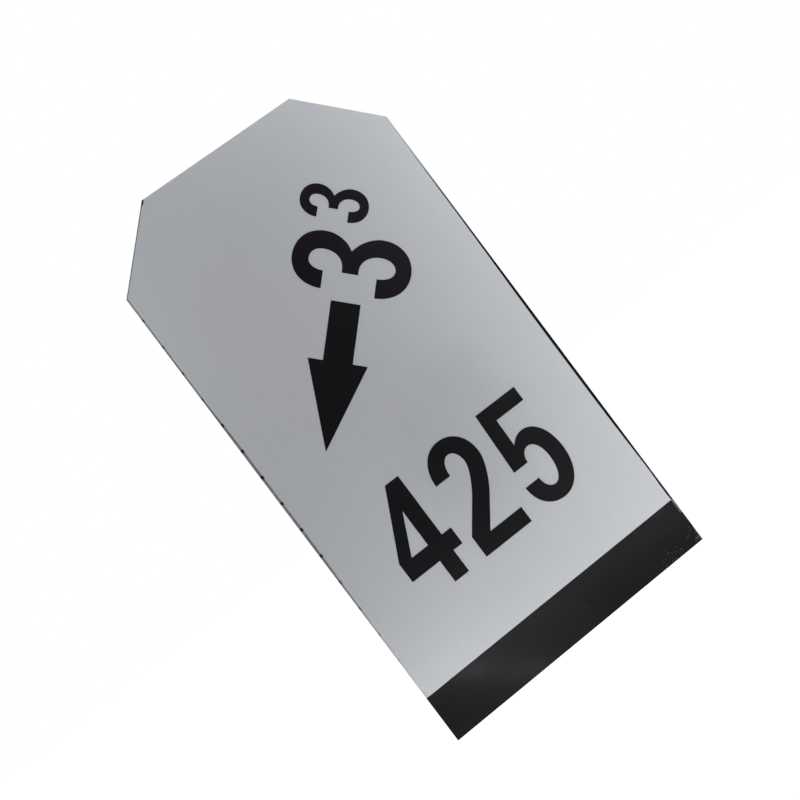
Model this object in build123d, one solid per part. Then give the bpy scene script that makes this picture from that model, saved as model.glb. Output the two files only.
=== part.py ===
from build123d import *
import math
import os

# Lineside marker plate, in millimetres. X runs across the face, Y from front to back, Z up.
# The origin is the centre of the four studs, in the plane of the nuts' rear faces.

# Aluminium sheet
plate_width = 320.0
plate_height = 600.0
plate_thickness = 3.0
corner_cut = 70.0  # legs of each cut top corner
edge_round = 0.5  # deburred edges

# Films on the front
face_film_thickness = 0.35  # reflective sheeting with its adhesive
cut_film_thickness = 0.12
side_setback = 1.9  # bare metal along each long edge, above the band
band_height = 51.0
legend_shift = -1.0  # both rows stand a hair left of the middle

# Row of upright figures
figure_height = 116.0
four_to_two_gap = 11.0
two_to_five_gap = 15.0

# Slanted row: the arrow, its figure and the small raised figure
slope_angle = 45.0
arrow_length = 148.8
arrow_head_length = 88.8
arrow_head_width = 60.0
arrow_shaft_width = 29.8
arrow_to_rate_gap = 8.8
rate_height = 120.4
rate_drop = 1.1  # the figure stands a hair below the arrow's axis
rate_to_decimal_gap = 11.6
decimal_height = 69.6

# What the rows leave free of the height is shared out as margins
margin_share_below = 0.333  # between the band and the upright figures
margin_share_between = 0.2865  # between the upright figures and the arrow's tip

# Roundness of the figures' curves: 0.5523 would be an ellipse
bow_fullness = 0.585

# Slotted rails across the back
rail_inset = 30.0  # from the plate's long edge to the rail's end
rail_edge_distance = 150.0  # from the plate's top or foot to the rail's middle
rail_base = 3.0
rail_wall = 3.0
rail_lip = 4.0
rail_flange = 17.0
rail_tip_round = 1.0
rail_back_round = 1.5
rail_root_round = 2.0
rail_slot_round = 0.5
rail_channel_round = 0.5

# T-head bolts and what is on them
thread_diameter = 10.0
thread_pitch = 1.5
flank_share = 0.6495  # of the pitch, between the outer and the pitch diameter
bolt_length = 45.0  # under the head
bolt_tip_chamfer = 1.2
head_width = 18.0
head_height = 7.0
head_chamfer = 0.8
head_side_clearance = 1.0
head_room = 2.0  # free depth below the head
head_play = 0.1  # between the head and the lips
slot_clearance = 2.0
bolt_spacing = 120.0
plain_washer_diameter = 20.0
plain_washer_thickness = 2.0
plain_washer_clearance = 0.5
plain_washer_chamfer = 0.25
spring_washer_section = 2.6  # square section
spring_washer_clearance = 0.2
spring_washer_slit = 1.2
spring_washer_slant = 20.0
nut_across_flats = 16.0
nut_height = 8.4
nut_face_share = 0.95  # of the width across flats, left flat on each face
nut_chamfer_angle = 30.0
nut_countersink = 0.4  # beyond the thread, all round
thread_clearance = 0.05

# Countersunk rivets
rivet_diameter = 5.0
rivet_head_diameter = 9.0
rivet_tail_diameter = 8.5
rivet_tail_height = 2.6
rivet_clearance = 0.05
rivet_end_distance = 20.0
rivets_per_flange = 3

# Depths from front to back, all from the nuts' rear faces
nut_front = -nut_height
spring_washer_front = nut_front - spring_washer_section
rail_back = spring_washer_front - plain_washer_thickness
channel_depth = head_height + head_room
rail_depth = rail_base + channel_depth + rail_lip
plate_back = rail_back - rail_depth
plate_front = plate_back - plate_thickness
face_film_front = plate_front - face_film_thickness
flange_back = plate_back + rail_base
head_back = rail_back - rail_lip - head_play

# Widths that follow from the fits
slot_width = thread_diameter + slot_clearance
channel_width = head_width + 2 * head_side_clearance
channel_outside = channel_width + 2 * rail_wall
rail_width = channel_outside + 2 * rail_flange
rail_length = plate_width - 2 * rail_inset
rail_level = plate_height / 2 - rail_edge_distance
thread_radius = thread_diameter / 2
# Inside the nut the thread is drawn at its pitch diameter, where the flanks meet
pitch_radius = thread_radius - flank_share * thread_pitch / 2

half_width = plate_width / 2
half_height = plate_height / 2


def face_plane(depth):
    """The upright plane at this depth, seen from the front, with X across and Z up."""
    return Plane(origin=(0, depth, 0), x_dir=(1, 0, 0), z_dir=(0, -1, 0))


def stick_on(sketch, depth, thickness):
    """A flat piece whose rear face lies at this depth."""
    return extrude(face_plane(depth) * sketch, thickness)


def turned(points):
    """A solid of revolution about Y from points of radius and depth."""
    return revolve(make_face(Polyline(*points, close=True)), Axis.Y)


def plate_outline(foot, inset, setback):
    """The outline above a foot height, drawn in by the inset at the top and by the setback at the sides."""
    side = half_width - setback
    foot_level = foot - half_height
    top = half_height - inset
    cut_sum = half_width + half_height - corner_cut - inset * math.sqrt(2)
    return make_face(
        Polyline(
            (-side, foot_level),
            (side, foot_level),
            (side, cut_sum - side),
            (cut_sum - top, top),
            (top - cut_sum, top),
            (-side, cut_sum - side),
            close=True,
        )
    )


def bow(start, corner, end):
    """A round stretch whose end tangents meet at the corner."""
    from_start = (corner - start) * bow_fullness
    from_end = (corner - end) * bow_fullness
    return Bezier(start, start + from_start, end + from_end, end)


def outline(start, *steps):
    """A closed shape. A step of one point is straight, a step of two is a bow with its corner first."""
    edges = []
    here = Vector(*start)
    for step in (*steps, start):
        if isinstance(step[0], tuple):
            corner = Vector(*step[0])
            end = Vector(*step[1])
            edges.append(bow(here, corner, end))
        else:
            end = Vector(*step)
            edges.append(Line(here, end))
        here = end
    return make_face(edges)


def to_height(shape, drawn_height, height):
    """The shape at its real height, standing on the origin."""
    return scale(shape, by=height / drawn_height)


def figure_four():
    top = 116.0
    width = 62.8
    stem_left = 34.0
    stem_right = 51.4
    bar_foot = 25.3
    bar_top = 44.5
    shoulder = 47.3
    slant_top = 35.2
    eye_left = 13.6
    eye_top = 85.8
    body = outline(
        (stem_left, 0),
        (stem_right, 0),
        (stem_right, bar_foot),
        (width, bar_foot),
        (width, bar_top),
        (stem_right, bar_top),
        (stem_right, top),
        (slant_top, top),
        (0, shoulder),
        (0, bar_foot),
        (stem_left, bar_foot),
    )
    eye = outline((eye_left, bar_top), (stem_left, bar_top), (stem_left, eye_top))
    return to_height(body - eye, top, figure_height)


def figure_two():
    cap = 116.0
    width = 58.2
    crown = 118.8
    crown_middle = 30.0
    crown_side = 87.0
    right = 57.9
    terminal = 84.5
    terminal_left = 1.7
    terminal_right = 19.5
    inner_crown = 102.4
    inner_right = 40.2
    bar_top = 17.5
    bar_end = 18.5
    heel = 24.2
    outer_bend = 40.0
    outer_bend_level = 46.0
    outer_corner_level = 69.6
    inner_bend = 24.0
    inner_bend_level = 54.5
    inner_corner_level = 75.6
    body = outline(
        (0, 0),
        (width, 0),
        (width, bar_top),
        (bar_end, bar_top),
        (outer_bend, outer_bend_level),
        ((right, outer_corner_level), (right, crown_side)),
        ((right, crown), (crown_middle, crown)),
        ((terminal_left, crown), (terminal_left, terminal)),
        (terminal_right, terminal),
        ((terminal_right, inner_crown), (crown_middle, inner_crown)),
        ((inner_right, inner_crown), (inner_right, crown_side)),
        ((inner_right, inner_corner_level), (inner_bend, inner_bend_level)),
        (0, heel),
    )
    return to_height(body, cap, figure_height)


def figure_five():
    cap = 116.0
    flag_right = 52.8
    flag_foot = 99.8
    stem_top = 2.8
    stem_foot = 48.1
    stem_right = 17.8
    shoulder = 17.1
    shoulder_level = 69.3
    shoulder_corner = 22.5
    bowl_top = 77.3
    bowl_middle = 32.0
    bowl_right = 56.9
    bowl_side = 39.0
    bowl_foot = -1.3
    foot_middle = 27.8
    terminal = 29.3
    terminal_right = 17.5
    inner_top = 61.0
    inner_right = 39.8
    inner_foot = 14.6
    body = outline(
        (stem_top, cap),
        (0, stem_foot),
        (stem_right, stem_foot),
        ((stem_right, inner_top), (foot_middle, inner_top)),
        ((inner_right, inner_top), (inner_right, bowl_side)),
        ((inner_right, inner_foot), (foot_middle, inner_foot)),
        ((terminal_right, inner_foot), (terminal_right, terminal)),
        (0, terminal),
        ((0, bowl_foot), (foot_middle, bowl_foot)),
        ((bowl_right, bowl_foot), (bowl_right, bowl_side)),
        ((bowl_right, bowl_top), (bowl_middle, bowl_top)),
        ((shoulder_corner, bowl_top), (shoulder, shoulder_level)),
        (stem_right, flag_foot),
        (flag_right, flag_foot),
        (flag_right, cap),
    )
    return to_height(body, cap, figure_height)


def figure_three(height):
    crown = 120.4
    middle = 29.8
    right = 59.4
    upper_side = 90.0
    lower_side = 32.0
    waist = 42.8
    waist_level = 62.2
    upper_corner_level = 70.0
    lower_corner_level = 50.5
    upper_terminal = 88.0
    upper_terminal_left = 1.3
    lower_terminal = 34.0
    terminal_right = 19.4
    inner_right = 41.2
    inner_crown = 103.7
    inner_foot = 16.2
    arm_left = 20.3
    arm_foot = 52.8
    arm_top = 69.4
    arm_bend = 24.0
    body = outline(
        (terminal_right, upper_terminal),
        ((terminal_right, inner_crown), (middle, inner_crown)),
        ((inner_right, inner_crown), (inner_right, upper_side)),
        ((inner_right, arm_top), (arm_bend, arm_top)),
        (arm_left, arm_top),
        (arm_left, arm_foot),
        (arm_bend, arm_foot),
        ((inner_right, arm_foot), (inner_right, lower_side)),
        ((inner_right, inner_foot), (middle, inner_foot)),
        ((terminal_right, inner_foot), (terminal_right, lower_terminal)),
        (0, lower_terminal),
        ((0, 0), (middle, 0)),
        ((right, 0), (right, lower_side)),
        ((right, lower_corner_level), (waist, waist_level)),
        ((right, upper_corner_level), (right, upper_side)),
        ((right, crown), (middle, crown)),
        ((upper_terminal_left, crown), (upper_terminal_left, upper_terminal)),
    )
    return to_height(body, crown, height)


def arrow():
    """The arrow along X, with its tip at the origin."""
    head = arrow_head_width / 2
    shaft = arrow_shaft_width / 2
    return outline(
        (0, 0),
        (arrow_head_length, -head),
        (arrow_head_length, -shaft),
        (arrow_length, -shaft),
        (arrow_length, shaft),
        (arrow_head_length, shaft),
        (arrow_head_length, head),
    )


def slanted_row():
    """The arrow and its two figures, turned to the slope, with the arrow's tip at the origin."""
    rate = figure_three(rate_height)
    rate_left = arrow_length + arrow_to_rate_gap
    rate_foot = -rate_height / 2 - rate_drop
    decimal = figure_three(decimal_height)
    decimal_left = rate_left + rate.bounding_box().size.X + rate_to_decimal_gap
    decimal_foot = rate_foot + rate_height - decimal_height
    level = {
        "slope_arrow": arrow(),
        "rate_three": Pos(rate_left, rate_foot) * rate,
        "decimal_three": Pos(decimal_left, decimal_foot) * decimal,
    }
    return {name: Rot(0, 0, slope_angle) * shape for name, shape in level.items()}


def upright_row():
    """The three large figures side by side, starting at the origin."""
    gaps = (four_to_two_gap, two_to_five_gap, 0)
    shapes = (figure_four(), figure_two(), figure_five())
    row = {}
    left = 0.0
    for name, shape, gap in zip(("figure_four", "figure_two", "figure_five"), shapes, gaps):
        row[name] = Pos(left, 0) * shape
        left += shape.bounding_box().size.X + gap
    return row


def row_box(row):
    """The box around every shape of a row."""
    return Compound(children=list(row.values())).bounding_box()


def legend():
    """The rows of dark figures, laid out on the face."""
    slanted = slanted_row()
    upright = upright_row()
    slanted_box = row_box(slanted)
    upright_box = row_box(upright)
    spare = plate_height - band_height - figure_height - slanted_box.size.Y
    figure_foot = band_height - half_height + spare * margin_share_below
    slanted_foot = figure_foot + figure_height + spare * margin_share_between
    to_row = Pos(legend_shift - upright_box.center().X, figure_foot)
    to_slope = Pos(legend_shift - slanted_box.center().X, slanted_foot - slanted_box.min.Y)
    shapes = {name: to_row * shape for name, shape in upright.items()}
    shapes.update({name: to_slope * shape for name, shape in slanted.items()})
    return shapes


def band_outline():
    """The dark band below the sheeting, trimmed to the flat of the plate at the sides and the foot."""
    side = half_width - edge_round
    foot = edge_round - half_height
    top = band_height - half_height
    return outline((-side, foot), (side, foot), (side, top), (-side, top))


def rivet_places(row_height):
    """Where the rivets of the rail at this height stand, as X and Z."""
    offset = channel_outside / 2 + rail_flange / 2
    reach = rail_length / 2 - rivet_end_distance
    step = 2 * reach / (rivets_per_flange - 1)
    columns = [-reach + step * i for i in range(rivets_per_flange)]
    return [(x, row_height + side * offset) for x in columns for side in (-1, 1)]


def rivet():
    """A flush countersunk rivet with its tail set on the flange."""
    head = rivet_head_diameter / 2
    shank = rivet_diameter / 2
    tail = rivet_tail_diameter / 2
    crown = flange_back + rivet_tail_height
    edges = [
        Polyline(
            (0, crown),
            (0, plate_front),
            (head, plate_front),
            (shank, plate_front + head - shank),
            (shank, flange_back),
            (tail, flange_back),
        ),
        bow(Vector(tail, flange_back), Vector(tail, crown), Vector(0, crown)),
    ]
    return revolve(make_face(edges), Axis.Y)


def rivet_hole():
    """The countersunk hole that a rivet fills, right through the plate and the flange."""
    head = rivet_head_diameter / 2 + rivet_clearance
    shank = rivet_diameter / 2 + rivet_clearance
    return turned(
        [
            (0, plate_front),
            (head, plate_front),
            (shank, plate_front + head - shank),
            (shank, flange_back),
            (0, flange_back),
        ]
    )


def sign_plate():
    blank = stick_on(plate_outline(0, 0, 0), plate_back, plate_thickness)
    sides = blank.faces().sort_by(Axis.Y)
    plate = fillet(sides[0].edges() + sides[-1].edges(), edge_round)
    for row_height in (rail_level, -rail_level):
        for x, z in rivet_places(row_height):
            plate -= Pos(x, 0, z) * rivet_hole()
    return plate


def rail(row_height):
    """A lipped channel on a wide base, with its slot to the back."""
    base = rail_width / 2
    outside = channel_outside / 2
    inside = channel_width / 2
    slot = slot_width / 2
    lip_front = rail_depth - rail_lip
    half = [
        (0, base),
        (rail_base, base),
        (rail_base, outside),
        (rail_depth, outside),
        (rail_depth, slot),
        (lip_front, slot),
        (lip_front, inside),
        (rail_base, inside),
    ]
    other_half = [(depth, -height) for depth, height in reversed(half)]
    section = make_face(Polyline(*half, *other_half, close=True))
    rounds = (
        (rail_base, base, rail_tip_round),
        (rail_depth, outside, rail_back_round),
        (rail_base, outside, rail_root_round),
        (rail_depth, slot, rail_slot_round),
        (lip_front, slot, rail_slot_round),
        (lip_front, inside, rail_channel_round),
        (rail_base, inside, rail_channel_round),
    )
    for depth, height, radius in rounds:
        for side in (-1, 1):
            corner = section.vertices().sort_by_distance((depth, side * height))[0]
            section = fillet(corner, radius)
    start = Plane(
        origin=(-rail_length / 2, plate_back, row_height), x_dir=(0, 1, 0), z_dir=(1, 0, 0)
    )
    bar = extrude(start * section, rail_length)
    for x, z in rivet_places(row_height):
        bar -= Pos(x, 0, z) * rivet_hole()
    return bar


def bolt():
    """A square-headed bolt whose free thread starts at the nut's rear face."""
    head_front = head_back - head_height
    tip = head_back + bolt_length
    shank = turned(
        [
            (0, head_back),
            (pitch_radius, head_back),
            (pitch_radius, 0),
            (thread_radius, 0),
            (thread_radius, tip - bolt_tip_chamfer),
            (thread_radius - bolt_tip_chamfer, tip),
            (0, tip),
        ]
    )
    head = Pos(0, (head_front + head_back) / 2, 0) * Box(head_width, head_height, head_width)
    head = chamfer(head.faces().sort_by(Axis.Y)[0].edges(), head_chamfer)
    return head + shank


def plain_washer():
    inner = thread_radius + plain_washer_clearance / 2
    outer = plain_washer_diameter / 2
    back = spring_washer_front
    return turned(
        [
            (inner, rail_back),
            (outer, rail_back),
            (outer, back - plain_washer_chamfer),
            (outer - plain_washer_chamfer, back),
            (inner, back),
        ]
    )


def spring_washer():
    """A split ring, drawn as it lies when it is tightened."""
    inner = thread_radius + spring_washer_clearance / 2
    outer = inner + spring_washer_section
    ring = turned(
        [
            (inner, spring_washer_front),
            (outer, spring_washer_front),
            (outer, nut_front),
            (inner, nut_front),
        ]
    )
    middle = (spring_washer_front + nut_front) / 2
    reach = 2 * outer
    slit = Rot(spring_washer_slant, 0, 0) * Box(reach, reach, spring_washer_slit)
    return ring - Pos(reach / 2, middle, 0) * slit


def nut():
    """A hexagon nut with both faces chamfered and its bore countersunk at both."""
    bore = pitch_radius + thread_clearance
    mouth = thread_radius + nut_countersink
    chamfer_slope = math.tan(math.radians(nut_chamfer_angle))
    corner = nut_across_flats / math.sqrt(3)
    flat = nut_across_flats / 2 * nut_face_share
    outer_depth = (corner - flat) * chamfer_slope
    mouth_depth = (mouth - bore) * chamfer_slope
    hexagon = RegularPolygon(nut_across_flats / 2, 6, major_radius=False)
    prism = extrude(face_plane(0) * hexagon, nut_height)
    rounded = turned(
        [
            (bore, nut_front + mouth_depth),
            (mouth, nut_front),
            (flat, nut_front),
            (corner, nut_front + outer_depth),
            (corner, -outer_depth),
            (flat, 0),
            (mouth, 0),
            (bore, -mouth_depth),
        ]
    )
    return prism & rounded


def assembly():
    """Every piece by name, in its place."""
    sheeting = plate_outline(band_height, edge_round, side_setback)
    pieces = {
        "sign_plate": sign_plate(),
        "reflective_face": stick_on(sheeting, plate_front, face_film_thickness),
        "foot_band": stick_on(band_outline(), plate_front, cut_film_thickness),
    }
    for name, shape in legend().items():
        pieces[name] = stick_on(shape, face_film_front, cut_film_thickness)
    hardware = {
        "bolt": bolt(),
        "plain_washer": plain_washer(),
        "spring_washer": spring_washer(),
        "nut": nut(),
    }
    for row, row_height in (("upper", rail_level), ("lower", -rail_level)):
        pieces[f"{row}_rail"] = rail(row_height)
        rivets = [Pos(x, 0, z) * rivet() for x, z in rivet_places(row_height)]
        pieces[f"{row}_rivets"] = Compound(children=rivets)
        for side, x in (("left", -bolt_spacing / 2), ("right", bolt_spacing / 2)):
            for name, piece in hardware.items():
                pieces[f"{row}_{side}_{name}"] = Pos(x, 0, row_height) * piece
    return pieces


os.makedirs("parts", exist_ok=True)
for node, piece in assembly().items():
    export_step(piece, f"parts/{node}.step")
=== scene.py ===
import math
import bmesh
import bpy
from mathutils import Matrix, Vector


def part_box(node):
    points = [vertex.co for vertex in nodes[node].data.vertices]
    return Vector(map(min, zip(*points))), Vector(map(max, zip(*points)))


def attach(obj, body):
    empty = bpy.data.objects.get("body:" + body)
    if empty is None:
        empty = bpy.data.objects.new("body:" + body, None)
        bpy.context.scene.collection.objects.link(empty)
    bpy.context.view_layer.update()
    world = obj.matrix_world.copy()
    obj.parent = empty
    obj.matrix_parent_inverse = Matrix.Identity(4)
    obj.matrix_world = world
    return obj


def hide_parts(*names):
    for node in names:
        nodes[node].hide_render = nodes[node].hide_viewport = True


# Lineside marker plate in metres: X across the face, Y from front to back, Z up
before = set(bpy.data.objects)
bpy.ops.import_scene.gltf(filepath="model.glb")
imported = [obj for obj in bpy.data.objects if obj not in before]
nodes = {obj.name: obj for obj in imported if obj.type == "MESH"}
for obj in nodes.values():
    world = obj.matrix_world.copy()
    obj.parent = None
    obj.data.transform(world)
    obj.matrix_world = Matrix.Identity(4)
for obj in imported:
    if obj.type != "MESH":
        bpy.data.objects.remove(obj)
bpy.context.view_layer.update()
plateLow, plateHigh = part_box("sign_plate")
bandLow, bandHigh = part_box("foot_band")
filmLow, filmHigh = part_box("reflective_face")
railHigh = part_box("upper_rail")[1]
cornerCut = 0.070
cutSum = plateHigh.x + plateHigh.z - cornerCut  # of x and z along a cut corner
print("frame:", len(nodes), "pieces loaded")


# Shorthand for shader nodes

middleTone = 0.5  # of a noise or of the cells' greys, which run from 0 to 1


def setSocket(tree, socket, value):
    if isinstance(value, bpy.types.NodeSocket):
        tree.links.new(value, socket)
    else:
        socket.default_value = value


def addNode(tree, kind, inputs=None, **settings):
    node = tree.nodes.new("ShaderNode" + kind)
    for key, value in settings.items():
        setattr(node, key, value)
    for key, value in (inputs or {}).items():
        setSocket(tree, node.inputs[key], value)
    return node


def calc(tree, operation, first, second=0.0, third=0.0):
    inputs = {0: first, 1: second, 2: third}
    return addNode(tree, "Math", inputs, operation=operation).outputs[0]


def times(tree, first, *others):
    for other in others:
        first = calc(tree, "MULTIPLY", first, other)
    return first


def largest(tree, first, *others):
    for other in others:
        first = calc(tree, "MAXIMUM", first, other)
    return first


def minus(tree, first, second):
    return calc(tree, "SUBTRACT", first, second)


def vectorCalc(tree, operation, first, second=(0.0, 0.0, 0.0), result="Vector"):
    return addNode(tree, "VectorMath", {0: first, 1: second}, operation=operation).outputs[result]


def axis(tree, coords, name):
    return addNode(tree, "SeparateXYZ", {"Vector": coords}).outputs[name]


def ramp(tree, value, start, end, low=0.0, high=1.0):
    inputs = {"Value": value, "From Min": start, "From Max": end, "To Min": low, "To Max": high}
    return addNode(tree, "MapRange", inputs, interpolation_type="SMOOTHSTEP").outputs["Result"]


def hump(tree, value, rise, fall, after=0.0):
    return times(tree, ramp(tree, value, *rise), ramp(tree, value, *fall, 1.0, after))


def mixValue(tree, share, first, second):
    return addNode(tree, "Mix", {0: share, 2: first, 3: second}).outputs[0]


def mixColour(tree, share, first, second, blend="MIX"):
    inputs = {0: share, 6: first, 7: second}  # 6 and 7 are the Mix node's pair for colours
    return addNode(tree, "Mix", inputs, data_type="RGBA", blend_type=blend).outputs[2]


def noise(tree, coords, scale, detail=2.0, roughness=0.5):
    inputs = {"Vector": coords, "Scale": scale, "Detail": detail, "Roughness": roughness}
    return addNode(tree, "TexNoise", inputs).outputs["Fac"]


def streaks(tree, coords, stretch, turn=(0.0, 0.0, 0.0), detail=3.0, roughness=0.5):
    angles = [math.radians(angle) for angle in turn]
    mapped = addNode(tree, "Mapping", {"Vector": coords, "Scale": stretch, "Rotation": angles})
    return noise(tree, mapped.outputs["Vector"], 1.0, detail, roughness)


def cells(tree, coords, perMetre):
    pattern = addNode(tree, "TexVoronoi", {"Vector": coords, "Scale": perMetre})
    tone = addNode(tree, "RGBToBW", {"Color": pattern.outputs["Color"]}).outputs["Val"]
    return pattern.outputs["Distance"], tone


def bump(tree, height, strength, distance):
    inputs = {"Height": height, "Strength": strength, "Distance": distance}
    return addNode(tree, "Bump", inputs).outputs["Normal"]


def emptyMaterial(name):
    material = bpy.data.materials.new(name)
    material.use_nodes = True
    material.node_tree.nodes.clear()
    return material, material.node_tree


def startMaterial(name):
    material, tree = emptyMaterial(name)
    shader = addNode(tree, "BsdfPrincipled")
    addNode(tree, "OutputMaterial", {"Surface": shader.outputs["BSDF"]})
    coords = addNode(tree, "TexCoord").outputs["Object"]
    return material, tree, shader, coords


def feed(tree, shader, **values):
    sockets = {"colour": "Base Color", "roughness": "Roughness", "metallic": "Metallic",
               "gloss": "Specular IOR Level", "normal": "Normal"}
    for key, value in values.items():
        setSocket(tree, shader.inputs[sockets[key]], value)


def dress(material, *names):
    for name in names:
        nodes[name].material_slots[0].material = material


def grey(level):
    return (level, level, level, 1.0)


# Dark marks along the edges, on the sheeting and on the metal beside it, with a painted shadow along the
# right edge

stripGrey = (0.184, 0.180, 0.182, 1.0)
shadowAndMarkBlack = grey(0.006)
edgeMarkBlur = 0.0001  # to each side of its border
edgeSpots = {  # dark spots at even steps along the left edge
    "pitch": 0.0314,
    "start": 0.0016,
    "size": (0.0021, 0.0014),
    "filmReach": 0.0010,
}


def plateHeight(tree, coords):
    return minus(tree, axis(tree, coords, "Z"), plateLow.z)


def evenSpots(tree, height, look):
    steps = calc(tree, "DIVIDE", minus(tree, height, look["start"]), look["pitch"])
    away = times(tree, calc(tree, "PINGPONG", steps, 0.5), look["pitch"])
    return ramp(tree, away, *look["size"])


def within(tree, inside, reach):
    return ramp(tree, minus(tree, inside, reach), edgeMarkBlur, -edgeMarkBlur)


# Silver sheeting: glass beads under a clear skin, laid on from a roll along the plate

silverFilm = {
    "silver": (0.4815, 0.5020, 0.5265, 1.0),
    "warmSilver": (0.4920, 0.4985, 0.5265, 1.0),
    "warmPatch": {"middle": (-0.070, 0.0, 0.120), "reach": (0.075, 1.0, 0.110)},
    # painted shade: a darker patch in the middle of the face
    "shadePatch": {"middle": (0.020, 0.0, -0.060), "reach": (0.080, 1.0, 0.100)},
    "patchShade": 0.09,
    "patchEdge": (1.35, 0.45),  # in reaches from the middle
    "wanderScale": 12.0,
    "wander": 0.8,
    "mottleScale": 17.0,
    "mottleSpan": (0.44, 0.60),
    "mottleShare": 0.6,
    "beadsPerMetre": 2300.0,
    "beadShade": 0.09,
    "beadBump": (0.06, 0.00005),  # strength and distance
    "cloudScale": 6.5,
    "cloudSpan": (0.3, 0.7),
    "cloudShade": 0.070,
    "rollStretch": (260.0, 260.0, 2.2),
    "rollShade": 0.044,
    "skinRoughness": (0.30, 0.42),
    "gloss": 0.32,
}
filmShadowAndMarks = {  # how far the dark edge marks reach inwards, and between which heights above the foot
    # painted shadow: the right and foot entries lay a near black shadow along the sheeting's right edge
    "right": {"reach": 0.0015, "rise": (0.06, 0.19), "fall": (0.25, 0.43), "tone": shadowAndMarkBlack},
    "foot": {"reach": 0.0007, "rise": (0.04, 0.06), "fall": (0.065, 0.095), "tone": shadowAndMarkBlack},
    "left": {"reach": 0.0007, "rise": (0.15, 0.25), "fall": (0.34, 0.41), "tone": stripGrey},
    "cut": {"reach": 0.0013, "rise": (0.50, 0.52), "fall": (0.60, 0.62), "tone": grey(0.040)},
    "corner": {"reach": 0.0026, "rise": (0.594, 0.596), "fall": (0.61, 0.62), "tone": grey(0.010)},
}


def softPatch(tree, coords, wander, look, edge):
    offset = vectorCalc(tree, "SUBTRACT", coords, look["middle"])
    away = vectorCalc(tree, "LENGTH", vectorCalc(tree, "DIVIDE", offset, look["reach"]), result="Value")
    return ramp(tree, calc(tree, "ADD", away, wander), *edge)


def edgeReachShare(tree, inside, height, look, most):
    reach = times(tree, hump(tree, height, look["rise"], look["fall"]), most)
    return times(tree, within(tree, inside, reach), calc(tree, "GREATER_THAN", reach, edgeMarkBlur))


def addFilmShadowAndMarks(tree, coords, edgeMarks, spotLook, colour):
    x = axis(tree, coords, "X")
    height = plateHeight(tree, coords)
    fromRight = minus(tree, filmHigh.x, x)
    fromLeft = minus(tree, x, filmLow.x)
    fromCut = minus(tree, cutSum, minus(tree, axis(tree, coords, "Z"), x))
    inwards = {"right": fromRight, "foot": fromRight, "left": fromLeft, "cut": fromCut, "corner": fromCut}
    spots = edgeReachShare(tree, fromLeft, height, edgeMarks["left"], spotLook["filmReach"])
    spots = times(tree, spots, evenSpots(tree, height, spotLook))
    shadeAndMarks = spots
    for side, edgeMark in edgeMarks.items():
        share = edgeReachShare(tree, inwards[side], height, edgeMark, edgeMark["reach"])
        colour = mixColour(tree, share, colour, edgeMark["tone"])
        shadeAndMarks = largest(tree, shadeAndMarks, share)
    return mixColour(tree, spots, colour, shadowAndMarkBlack), shadeAndMarks


def makeSilverFilm(look, edgeMarks, spotLook):
    material, tree, shader, coords = startMaterial("silverFilm")
    beads, beadTone = cells(tree, coords, look["beadsPerMetre"])
    cloud = noise(tree, coords, look["cloudScale"], detail=3.0)
    roll = streaks(tree, coords, look["rollStretch"], roughness=0.6)
    # a warm patch and a patch of painted shade, both with wandering borders
    wander = minus(tree, noise(tree, coords, look["wanderScale"], detail=1.0), middleTone)
    wander = times(tree, wander, look["wander"])
    warm = softPatch(tree, coords, wander, look["warmPatch"], look["patchEdge"])
    darker = softPatch(tree, coords, wander, look["shadePatch"], look["patchEdge"])
    mottle = noise(tree, coords, look["mottleScale"], detail=1.0)
    warm = largest(tree, warm, ramp(tree, mottle, *look["mottleSpan"], 0.0, look["mottleShare"]))
    colour = mixColour(tree, warm, look["silver"], look["warmSilver"])
    # painted shade: the sheeting is darker inside the shade patch
    shade = calc(tree, "MULTIPLY_ADD", darker, -look["patchShade"], 1.0)
    for tone, span in ((cloud, "cloudShade"), (roll, "rollShade"), (beadTone, "beadShade")):
        shade = calc(tree, "MULTIPLY_ADD", minus(tree, tone, middleTone), look[span], shade)
    greyShade = addNode(tree, "CombineColor", {0: shade, 1: shade, 2: shade}).outputs["Color"]
    colour = mixColour(tree, 1.0, colour, greyShade, "MULTIPLY")
    colour, shadeAndMarks = addFilmShadowAndMarks(tree, coords, edgeMarks, spotLook, colour)
    roughness = ramp(tree, cloud, *look["cloudSpan"], *look["skinRoughness"])
    normal = bump(tree, beads, *look["beadBump"])
    feed(tree, shader, colour=colour, roughness=roughness, metallic=shadeAndMarks, gloss=look["gloss"], normal=normal)
    return material


dress(makeSilverFilm(silverFilm, filmShadowAndMarks, edgeSpots), "reflective_face")


# Dark cut film: near black and smooth, with a painted sheen towards the upper right, and some wear and dust
# at the band's right end

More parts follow.
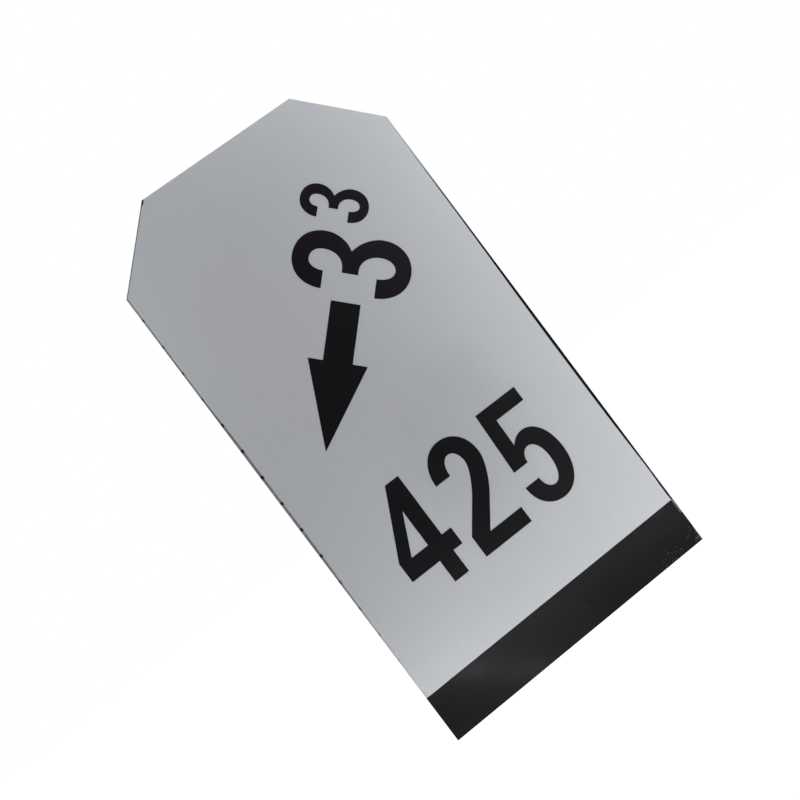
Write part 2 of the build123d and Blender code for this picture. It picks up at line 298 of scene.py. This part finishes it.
darkFilm = {
    "black": (0.0034, 0.0032, 0.0043, 1.0),
    "brownBlack": (0.0062, 0.0046, 0.0061, 1.0),
    "sheenBlack": (0.0093, 0.0066, 0.0095, 1.0),
    "sheenSpan": (0.06, 0.30),  # of x and z together, where the painted sheen grows towards the upper right
    "tintScale": 9.0,
    "tintSpan": (0.35, 0.65),
    "smearStretch": (14.0, 14.0, 40.0),
    "smearTurn": (0.0, 25.0, 0.0),
    "smearSpan": (0.3, 0.7),
    "roughness": (0.17, 0.24),
    "gloss": 0.055,
}
bandFilm = {
    **darkFilm,
    "black": (0.0056, 0.0051, 0.0053, 1.0),
    "brownBlack": (0.0070, 0.0054, 0.0057, 1.0),
    "roughness": (0.09, 0.14),
    "gloss": 0.085,
}
bandWear = {
    "wornGrey": (0.115, 0.112, 0.108, 1.0),
    "wornReach": (0.0018, 0.0162),
    "rubbedReach": 0.0006,
    "rubbedHeight": (0.020, 0.012),
    "dust": (0.060, 0.059, 0.058, 1.0),
    "dustReach": 0.105,
    "dustSpread": 4.5,  # how much further the dust lies along the foot than above it
    "dustShare": 0.42,
    "cleanLimit": 0.98,  # grains lighter than this lie anywhere
    "grainsPerMetre": 620.0,
    "grainSize": (0.50, 0.20),
    "clumpScale": 52.0,
    "clumpSpan": (0.40, 0.60),
    "tipDust": (0.26, 0.25, 0.24, 1.0),
    "tipReach": (0.016, 0.006),
}


def addWear(tree, coords, look, colour):
    z = axis(tree, coords, "Z")
    across = minus(tree, bandHigh.x, axis(tree, coords, "X"))
    above = minus(tree, z, bandLow.z)
    below = minus(tree, bandHigh.z, z)
    # film worn off the edge below the sheeting, and rubbed at the corner's tip
    wide, tall = look["wornReach"]
    worn = times(tree, calc(tree, "LESS_THAN", across, wide), calc(tree, "LESS_THAN", below, tall))
    rubbed = calc(tree, "LESS_THAN", across, look["rubbedReach"])
    rubbed = times(tree, rubbed, ramp(tree, above, *look["rubbedHeight"]))
    colour = mixColour(tree, largest(tree, worn, rubbed), colour, look["wornGrey"])
    # dust in clumps along the foot, lightest at the tip
    grains, grainTone = cells(tree, coords, look["grainsPerMetre"])
    fromCorner = calc(tree, "MULTIPLY_ADD", above, look["dustSpread"], across)
    nearCorner = calc(tree, "SQRT", ramp(tree, fromCorner, look["dustReach"], 0.0))
    nearTip = ramp(tree, calc(tree, "ADD", above, across), *look["tipReach"])
    clumps = ramp(tree, noise(tree, coords, look["clumpScale"], detail=1.0), *look["clumpSpan"])
    dusty = largest(tree, times(tree, nearCorner, clumps), nearTip)
    limit = calc(tree, "MULTIPLY_ADD", dusty, -look["dustShare"], look["cleanLimit"])
    chosen = calc(tree, "GREATER_THAN", grainTone, limit)
    grains = times(tree, chosen, ramp(tree, grains, *look["grainSize"]))
    return mixColour(tree, grains, colour, mixColour(tree, nearTip, look["dust"], look["tipDust"]))


def makeDarkFilm(name, look, wear=None):
    material, tree, shader, coords = startMaterial(name)
    tint = noise(tree, coords, look["tintScale"])
    smear = streaks(tree, coords, look["smearStretch"], look["smearTurn"])
    colour = mixColour(tree, ramp(tree, tint, *look["tintSpan"]), look["black"], look["brownBlack"])
    # painted sheen: the black grows lighter and browner towards the upper right
    upRight = calc(tree, "ADD", axis(tree, coords, "X"), axis(tree, coords, "Z"))
    colour = mixColour(tree, ramp(tree, upRight, *look["sheenSpan"]), colour, look["sheenBlack"])
    if wear:
        colour = addWear(tree, coords, wear, colour)
    roughness = ramp(tree, smear, *look["smearSpan"], *look["roughness"])
    feed(tree, shader, colour=colour, roughness=roughness, gloss=look["gloss"])
    return material


dress(makeDarkFilm("bandFilm", bandFilm, bandWear), "foot_band")
dress(makeDarkFilm("figureFilm", darkFilm), "figure_four", "figure_two", "figure_five",
      "rate_three", "decimal_three", "slope_arrow")
print("films: silver face, dark band and figures")


# Rolled aluminium sheet, bare at the back and along the long edges, which carry dark marks and a painted
# shadow along the right edge

sheetMetal = {
    "bright": (0.46, 0.465, 0.475, 1.0),
    "darker": (0.39, 0.395, 0.405, 1.0),
    "rollingStretch": (900.0, 900.0, 6.0),
    "rollingShare": 0.35,
    "rollingBump": (0.06, 0.00002),
    "blotchScale": 13.0,
    "toneSpan": (0.36, 0.64),
    "roughnessSpan": (0.36, 0.66),
    "roughness": (0.30, 0.44),
    "metallic": 0.92,
    "scratchStretch": (5.0, 5.0, 130.0),
    "scratchTurns": ((0.0, 62.0, 0.0), (0.0, -48.0, 0.0)),
    "scratchLevel": 0.56,
    "scratchWidth": 0.006,
    "scratchShare": 0.5,
    "scratchPatches": 21.0,
    "patchSpan": (0.56, 0.64),
}
edgeShadowAndMarks = {  # heights are above the foot
    "frontDepth": (0.0013, 0.0023),
    "raggedScale": 160.0,
    "raggedSpan": (0.2, 0.5),
    "raggedShare": (0.8, 1.0),
    "leftReach": (0.0014, 0.0020),
    "wideRise": (0.17, 0.26),
    "wideFall": (0.35, 0.42),
    "leftRise": (0.06, 0.20),
    "leftFall": (0.38, 0.60),
    "leftTopShare": 0.8,
    "cutReach": 0.0009,
    "cutShare": 0.6,
    "cornerHeight": (0.593, 0.596),
    "rightReach": (0.0021, 0.0012),
    "rightTaper": (0.33, 0.60),
    "rightRise": (-0.45, 0.14),
    "rightFall": (0.40, 0.55),
    "bareRight": bandWear["wornReach"][1],
    "roughness": 0.3,  # added to the metal's own
}


def addEdgeShadowAndMarks(tree, coords, look, spotLook, colour):
    x = axis(tree, coords, "X")
    height = plateHeight(tree, coords)
    outwards = calc(tree, "ABSOLUTE", x)
    fromSide = minus(tree, plateHigh.x, outwards)
    fromCut = minus(tree, cutSum, calc(tree, "ADD", outwards, axis(tree, coords, "Z")))
    onLeft = calc(tree, "LESS_THAN", x, 0.0)
    onRight = minus(tree, 1.0, onLeft)
    ragged = noise(tree, coords, look["raggedScale"])
    ragged = ramp(tree, ragged, *look["raggedSpan"], *look["raggedShare"])
    dirtyDepth, cleanDepth = look["frontDepth"]
    atFront = ramp(tree, axis(tree, coords, "Y"), plateLow.y + cleanDepth, plateLow.y + dirtyDepth)
    # grey strip on the left, widest at mid height
    slim, wide = look["leftReach"]
    widening = hump(tree, height, look["wideRise"], look["wideFall"])
    strip = within(tree, fromSide, calc(tree, "MULTIPLY_ADD", widening, wide - slim, slim))
    stripShare = hump(tree, height, look["leftRise"], look["leftFall"], look["leftTopShare"])
    strip = times(tree, strip, stripShare, onLeft, ragged)
    # dark spots at even steps along it, and a dark line on the cut above
    spots = times(tree, evenSpots(tree, height, spotLook), strip)
    cutShare = ramp(tree, height, *look["cornerHeight"], look["cutShare"], 1.0)
    cut = times(tree, calc(tree, "LESS_THAN", fromCut, look["cutReach"]), onLeft, ragged, cutShare)
    # painted shadow, near black, along the right edge; near black also on the edges beside the band
    right = within(tree, fromSide, ramp(tree, height, *look["rightTaper"], *look["rightReach"]))
    right = times(tree, right, hump(tree, height, look["rightRise"], look["rightFall"]), onRight)
    bandTop = calc(tree, "MULTIPLY_ADD", onRight, -look["bareRight"], bandHigh.z - plateLow.z)
    foot = calc(tree, "LESS_THAN", height, bandTop)
    black = times(tree, largest(tree, spots, cut, right, foot), atFront)
    strip = times(tree, strip, atFront)
    colour = mixColour(tree, black, mixColour(tree, strip, colour, stripGrey), shadowAndMarkBlack)
    return colour, largest(tree, strip, black)


def makeSheetMetal(look, edgeShadeLook, spotLook):
    material, tree, shader, coords = startMaterial("sheetAluminium")
    lines = streaks(tree, coords, look["rollingStretch"], detail=4.0, roughness=0.65)
    blotches = noise(tree, coords, look["blotchScale"], detail=5.0, roughness=0.6)
    tone = mixValue(tree, look["rollingShare"], blotches, lines)
    colour = mixColour(tree, ramp(tree, tone, *look["toneSpan"]), look["darker"], look["bright"])
    patches = ramp(tree, noise(tree, coords, look["scratchPatches"], detail=1.0), *look["patchSpan"])
    for turn in look["scratchTurns"]:
        field = streaks(tree, coords, look["scratchStretch"], turn, detail=1.0)
        away = calc(tree, "ABSOLUTE", minus(tree, field, look["scratchLevel"]))
        scratch = times(tree, ramp(tree, away, look["scratchWidth"], 0.0), patches, look["scratchShare"])
        colour = mixColour(tree, scratch, colour, look["bright"])
    colour, shadeAndMarks = addEdgeShadowAndMarks(tree, coords, edgeShadeLook, spotLook, colour)
    roughness = ramp(tree, tone, *look["roughnessSpan"], *look["roughness"])
    roughness = calc(tree, "MULTIPLY_ADD", shadeAndMarks, edgeShadeLook["roughness"], roughness)
    normal = bump(tree, lines, *look["rollingBump"])
    feed(tree, shader, colour=colour, roughness=roughness, metallic=look["metallic"], normal=normal)
    return material


dress(makeSheetMetal(sheetMetal, edgeShadowAndMarks, edgeSpots), "sign_plate")


# Extruded rails: die lines along their length, saw marks on their ends

railMetal = {
    "bright": (0.56, 0.565, 0.57, 1.0),
    "darker": (0.43, 0.435, 0.445, 1.0),
    "dieStretch": (2.5, 900.0, 900.0),
    "sawDepth": 0.0003,
    "sawStretch": (40.0, 60.0, 1500.0),
    "sawTurn": (8.0, 0.0, 0.0),
    "markShare": 0.6,
    "markBump": (0.14, 0.00003),
    "blotchScale": 18.0,
    "toneSpan": (0.36, 0.64),
    "roughnessSpan": (0.36, 0.66),
    "roughness": (0.26, 0.40),
    "metallic": 0.94,
}


def makeRailMetal(look):
    material, tree, shader, coords = startMaterial("railAluminium")
    dieLines = streaks(tree, coords, look["dieStretch"], roughness=0.6)
    sawLines = streaks(tree, coords, look["sawStretch"], look["sawTurn"])
    outwards = calc(tree, "ABSOLUTE", axis(tree, coords, "X"))
    onEnd = calc(tree, "GREATER_THAN", outwards, railHigh.x - look["sawDepth"])
    marks = mixValue(tree, onEnd, dieLines, sawLines)
    blotches = noise(tree, coords, look["blotchScale"], detail=4.0)
    tone = mixValue(tree, look["markShare"], blotches, marks)
    colour = mixColour(tree, ramp(tree, tone, *look["toneSpan"]), look["darker"], look["bright"])
    roughness = ramp(tree, tone, *look["roughnessSpan"], *look["roughness"])
    normal = bump(tree, marks, *look["markBump"])
    feed(tree, shader, colour=colour, roughness=roughness, metallic=look["metallic"], normal=normal)
    return material


dress(makeRailMetal(railMetal), "upper_rail", "lower_rail")


# Soft aluminium rivets with their tails set by hammer

rivetMetal = {
    "bright": (0.52, 0.525, 0.53, 1.0),
    "darker": (0.37, 0.375, 0.385, 1.0),
    "wearScale": 160.0,
    "wearSpan": (0.35, 0.65),
    "dentScale": 750.0,
    "dentSpan": (0.35, 0.65),
    "dentBump": (0.2, 0.00008),
    "roughness": (0.34, 0.52),
    "metallic": 0.94,
}


def makeRivetMetal(look):
    material, tree, shader, coords = startMaterial("rivetAluminium")
    wear = noise(tree, coords, look["wearScale"], detail=3.0)
    dents = noise(tree, coords, look["dentScale"])
    colour = mixColour(tree, ramp(tree, wear, *look["wearSpan"]), look["darker"], look["bright"])
    roughness = ramp(tree, dents, *look["dentSpan"], *look["roughness"])
    normal = bump(tree, dents, *look["dentBump"])
    feed(tree, shader, colour=colour, roughness=roughness, metallic=look["metallic"], normal=normal)
    return material


dress(makeRivetMetal(rivetMetal), "upper_rivets", "lower_rivets")


# Zinc plated steel with the faint blue and straw tints of its passivation

zincSteel = {
    "blue": (0.47, 0.505, 0.55, 1.0),
    "straw": (0.555, 0.54, 0.49, 1.0),
    "springBlue": (0.30, 0.315, 0.335, 1.0),
    "springStraw": (0.36, 0.345, 0.315, 1.0),
    "tintScale": 70.0,
    "tintSpan": (0.36, 0.64),
    "grainScale": 1900.0,
    "grainShare": 0.5,
    "grainBump": (0.08, 0.00004),
    "roughnessSpan": (0.35, 0.65),
    "roughness": (0.22, 0.36),
}


def makeZinc(name, look, cold, warm):
    material, tree, shader, coords = startMaterial(name)
    tint = noise(tree, coords, look["tintScale"], detail=3.0, roughness=0.6)
    grain = noise(tree, coords, look["grainScale"])
    colour = mixColour(tree, ramp(tree, tint, *look["tintSpan"]), cold, warm)
    blend = mixValue(tree, look["grainShare"], tint, grain)
    roughness = ramp(tree, blend, *look["roughnessSpan"], *look["roughness"])
    normal = bump(tree, grain, *look["grainBump"])
    feed(tree, shader, colour=colour, roughness=roughness, metallic=1.0, normal=normal)
    return material


brightZinc = makeZinc("brightZinc", zincSteel, zincSteel["blue"], zincSteel["straw"])
springZinc = makeZinc("springZinc", zincSteel, zincSteel["springBlue"], zincSteel["springStraw"])
studs = [f"{row}_{side}" for row in ("upper", "lower") for side in ("left", "right")]
for stud in studs:
    dress(brightZinc, f"{stud}_plain_washer", f"{stud}_nut")
    dress(springZinc, f"{stud}_spring_washer")
print("metals: sheet, rails, rivets, zinc")


# Square-headed bolts with a cut thread from the head to the tip

threadedBolt = {
    "headHeight": 0.007,
    "headEdge": 0.0006,
    "headEdgeSteps": 3,
    "pitch": 0.0015,
    "crestRadius": 0.005,
    "threadDepth": 0.00092,
    "crestEnd": 1 / 8,  # of a pitch, as the root's ends
    "rootEnds": (7 / 16, 11 / 16),
    "leadIn": 1.5,  # pitches that are cut off at the head
    "spareTurns": 2,
    "stepsPerTurn": 36,
    "runout": 0.0022,
    "tipChamfer": 0.0012,
    "sharpAngle": 32.0,
    "phaseStep": 0.37,  # of a turn, from one bolt to the next
}
oneTurn = 2 * math.pi
samePoint = 1e-7
sameLevel = 1e-6
seamShare = 0.01  # of a pitch, within which two turns are joined


def wholeOf(bm):
    return bm.verts[:] + bm.edges[:] + bm.faces[:]


def cutAcross(bm, level, clearBelow=False, clearAbove=False):
    bmesh.ops.bisect_plane(bm, geom=wholeOf(bm), dist=samePoint, plane_co=(0, level, 0), plane_no=(0, 1, 0),
                           clear_inner=clearBelow, clear_outer=clearAbove)


def openEdges(bm, level):
    rim = [edge for edge in bm.edges if edge.is_boundary]
    return [edge for edge in rim if all(abs(vert.co.y - level) < sameLevel for vert in edge.verts)]


def threadShank(bm, look, start, tip, phase):
    pitch, crest = look["pitch"], look["crestRadius"]
    root = crest - look["threadDepth"]
    middle = crest - look["threadDepth"] / 2
    steps = look["stepsPerTurn"]
    turns = math.ceil((tip - start) / pitch) + look["spareTurns"]
    # one pitch: crest flat, flank, root flat, flank
    rootStart, rootEnd = look["rootEnds"]
    profile = ((crest, 0), (crest, look["crestEnd"]), (root, rootStart), (root, rootEnd), (crest, 1))
    chain = [bm.verts.new((radius, start + (share - look["leadIn"]) * pitch, 0)) for radius, share in profile]
    chain += [bm.edges.new(pair) for pair in zip(chain, chain[1:])]
    bmesh.ops.spin(bm, geom=chain, cent=(0, 0, 0), axis=(0, 1, 0), dvec=(0, pitch / steps, 0),
                   angle=oneTurn, steps=steps, use_merge=False, use_duplicate=False)
    firstTurn = wholeOf(bm)
    for turn in range(1, turns):
        copied = bmesh.ops.duplicate(bm, geom=firstTurn)["geom"]
        verts = [part for part in copied if isinstance(part, bmesh.types.BMVert)]
        bmesh.ops.translate(bm, verts=verts, vec=(0, pitch * turn, 0))
    bmesh.ops.remove_doubles(bm, verts=bm.verts[:], dist=pitch * seamShare)
    bmesh.ops.rotate(bm, verts=bm.verts[:], cent=(0, 0, 0), matrix=Matrix.Rotation(phase, 3, "Y"))
    cutAcross(bm, start, clearBelow=True)
    cutAcross(bm, start + look["runout"])
    cutAcross(bm, tip - look["tipChamfer"])
    cutAcross(bm, tip, clearAbove=True)
    for vert in bm.verts:
        radius = math.hypot(vert.co.x, vert.co.z)
        cut = min(1.0, (vert.co.y - start) / look["runout"])  # the thread runs out under the head
        wanted = middle + (radius - middle) * max(0.0, cut)
        wanted = min(wanted, crest - max(0.0, vert.co.y - tip + look["tipChamfer"]))
        vert.co.x *= wanted / radius
        vert.co.z *= wanted / radius
    bmesh.ops.edgeloop_fill(bm, edges=openEdges(bm, tip))


def squareHead(bm, look, width, front, back):
    size = Matrix.Diagonal((width, back - front, width, 1.0))
    place = Matrix.Translation((0, (front + back) / 2, 0))
    block = bmesh.ops.create_cube(bm, size=1.0, matrix=place @ size)
    edges = list({edge for vert in block["verts"] for edge in vert.link_edges})
    bmesh.ops.bevel(bm, geom=edges, offset=look["headEdge"], affect="EDGES",
                    segments=look["headEdgeSteps"], profile=0.5, material=-1)
    seats = [face for face in bm.faces if abs(face.calc_center_median().y - back) < sameLevel]
    seat = max(seats, key=lambda face: face.calc_area())
    bmesh.ops.delete(bm, geom=[seat], context="FACES_ONLY")
    bmesh.ops.bridge_loops(bm, edges=openEdges(bm, back))


def makeBolt(stud, look, phase):
    low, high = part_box(f"{stud}_bolt")
    headBack = low.y + look["headHeight"]
    bm = bmesh.new()
    threadShank(bm, look, headBack, high.y, phase)
    squareHead(bm, look, high.x - low.x, low.y, headBack)
    bmesh.ops.remove_doubles(bm, verts=bm.verts[:], dist=samePoint)
    bmesh.ops.recalc_face_normals(bm, faces=bm.faces[:])
    bmesh.ops.translate(bm, verts=bm.verts[:], vec=((low.x + high.x) / 2, 0, (low.z + high.z) / 2))
    mesh = bpy.data.meshes.new(f"{stud}_threaded_bolt")
    bm.to_mesh(mesh)
    bm.free()
    mesh.shade_smooth()
    mesh.set_sharp_from_angle(angle=math.radians(look["sharpAngle"]))
    mesh.materials.append(brightZinc)
    bolt = bpy.data.objects.new(f"{stud}_threaded_bolt", mesh)
    bpy.context.scene.collection.objects.link(bolt)
    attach(bolt, f"{stud}_stud")
    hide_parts(f"{stud}_bolt")


for number, stud in enumerate(studs):
    makeBolt(stud, threadedBolt, oneTurn * threadedBolt["phaseStep"] * number)
print("bolts:", len(studs), "threaded bolts")


# Studio: pale floor well below the plate, white surroundings, soft lamps

studio = {
    "floorLevel": -0.80,
    "floorReach": 14.0,
    "floorTone": grey(0.80),
    "nearGlow": 0.64,
    "farGlow": 0.90,
    "glowReach": (0.5, 1.6),
    "surround": grey(1.0),
    "ambient": 0.213,
    "ambientTone": (0.97, 0.985, 1.0, 1.0),
}


def seenDirectly(tree):
    path = addNode(tree, "LightPath").outputs
    return largest(tree, path["Is Camera Ray"], path["Is Glossy Ray"], path["Is Transmission Ray"])


def makeFloor(look):
    level = Vector((0, 0, look["floorLevel"]))
    bm = bmesh.new()
    bmesh.ops.create_grid(bm, x_segments=1, y_segments=1, size=look["floorReach"],
                          matrix=Matrix.Translation(level))
    mesh = bpy.data.meshes.new("floor")
    bm.to_mesh(mesh)
    bm.free()
    floor = bpy.data.objects.new("floor", mesh)
    bpy.context.scene.collection.objects.link(floor)
    material, tree = emptyMaterial("paleFloor")
    paint = addNode(tree, "BsdfDiffuse", {"Color": look["floorTone"]})
    coords = addNode(tree, "TexCoord").outputs["Object"]
    away = vectorCalc(tree, "DISTANCE", coords, level, result="Value")
    fade = ramp(tree, away, *look["glowReach"], look["nearGlow"], look["farGlow"])
    glow = addNode(tree, "Emission", {"Strength": times(tree, seenDirectly(tree), fade)})
    both = addNode(tree, "AddShader", {0: paint.outputs["BSDF"], 1: glow.outputs["Emission"]})
    addNode(tree, "OutputMaterial", {"Surface": both.outputs["Shader"]})
    mesh.materials.append(material)


def makeWorld(look):
    world = bpy.data.worlds.new("whiteStudio")
    world.use_nodes = True
    tree = world.node_tree
    tree.nodes.clear()
    white = addNode(tree, "Background", {"Color": look["surround"], "Strength": 1.0})
    soft = addNode(tree, "Background", {"Color": look["ambientTone"], "Strength": look["ambient"]})
    both = addNode(tree, "MixShader", {0: seenDirectly(tree), 1: soft.outputs[0], 2: white.outputs[0]})
    addNode(tree, "OutputWorld", {"Surface": both.outputs["Shader"]})
    bpy.context.scene.world = world


def aimed(place, aim, roll=0.0):
    place, aim = Vector(place), Vector(aim)
    turn = (aim - place).to_track_quat("-Z", "Y").to_matrix().to_4x4()
    return Matrix.Translation(place) @ turn @ Matrix.Rotation(math.radians(roll), 4, "Z")


# Near lamps that wash the face with light and give no glare of their own
washAim = (0.0, -0.03, 0.0)
washLamps = {
    "footLeft": {"place": (-0.20, -0.17, -0.47), "size": (0.20, 0.12), "power": 0.945},
    "footRight": {"place": (0.18, -0.17, -0.47), "size": (0.20, 0.12), "power": 0.69},
    "leftSide": {"place": (-0.30, -0.17, 0.12), "size": (0.12, 0.25), "power": 0.104},
    "leftHigh": {"place": (-0.30, -0.17, 0.40), "size": (0.12, 0.25), "power": 0.239},
    "rightLow": {"place": (0.30, -0.17, -0.12), "size": (0.12, 0.25), "power": 0.240},
    "rightSide": {"place": (0.30, -0.17, 0.12), "size": (0.12, 0.25), "power": 0.232},
    "rightHigh": {"place": (0.30, -0.17, 0.40), "size": (0.12, 0.25), "power": 0.461},
    "overTop": {"place": (0.05, -0.17, 0.50), "size": (0.25, 0.12), "power": 0.222},
}
# Lamps that the dark film mirrors
bandTurn = -38.7
sheenLamps = {
    "figureSheen": {"place": (0.42, -0.96, -0.04), "aim": (0.12, -0.03, -0.02),
                    "size": (0.22, 0.62), "power": 0.56},
    "rowSheen": {"place": (0.22, -0.96, -0.345), "aim": (-0.03, -0.03, -0.20),
                 "size": (0.50, 0.17), "power": 0.35},
    "bandSheen": {"place": (0.1104, -1.05, -0.4636), "aim": (-0.082, -0.03, -0.275),
                  "size": (0.17, 0.036), "power": 0.078, "roll": bandTurn},
    "bandGlow": {"place": (0.205, -1.05, -0.447), "aim": (-0.02, -0.03, -0.268),
                 "size": (0.18, 0.085), "power": 0.036, "roll": bandTurn},
}
# Large soft lamps for the back and the top
roomAim = (0.0, 0.0, 0.0)
roomLamps = {
    "rearLeft": {"place": (0.85, 1.05, 0.75), "size": (1.0, 1.0), "power": 4.0},
    "rearRight": {"place": (-0.95, 0.85, 0.10), "size": (0.6, 1.0), "power": 2.0},
    "top": {"place": (-0.15, 0.25, 1.50), "size": (1.0, 1.0), "power": 4.0},
}


def makeLamp(name, look, aim, glare=True):
    light = bpy.data.lights.new(name, "AREA")
    light.shape = "RECTANGLE"
    light.size, light.size_y = look["size"]
    light.energy = look["power"]
    lamp = bpy.data.objects.new(name, light)
    lamp.matrix_world = aimed(look["place"], aim, look.get("roll", 0.0))
    lamp.visible_camera = False
    lamp.visible_glossy = glare
    bpy.context.scene.collection.objects.link(lamp)


makeFloor(studio)
makeWorld(studio)
for lampName, lampLook in washLamps.items():
    makeLamp(lampName, lampLook, washAim, glare=False)
for lampName, lampLook in sheenLamps.items():
    makeLamp(lampName, lampLook, lampLook["aim"])
for lampName, lampLook in roomLamps.items():
    makeLamp(lampName, lampLook, roomAim)
print("studio: floor, world and", len(washLamps) + len(sheenLamps) + len(roomLamps), "lamps")


# Camera at the photographed angle, turned about its own axis so that the plate leans to the left

viewPoint = {
    "place": (-0.3789, -1.6295, 0.0185),
    "aim": (-0.0041, -0.0320, -0.0047),
    "roll": -36.905,
    "lens": 75.28,
    "clipStart": 0.01,
}

cameraData = bpy.data.cameras.new("camera")
cameraData.lens = viewPoint["lens"]
cameraData.clip_start = viewPoint["clipStart"]
camera = bpy.data.objects.new("camera", cameraData)
camera.matrix_world = aimed(viewPoint["place"], viewPoint["aim"], viewPoint["roll"])
bpy.context.scene.collection.objects.link(camera)
bpy.context.scene.camera = camera
bpy.context.scene.view_settings.view_transform = "Standard"
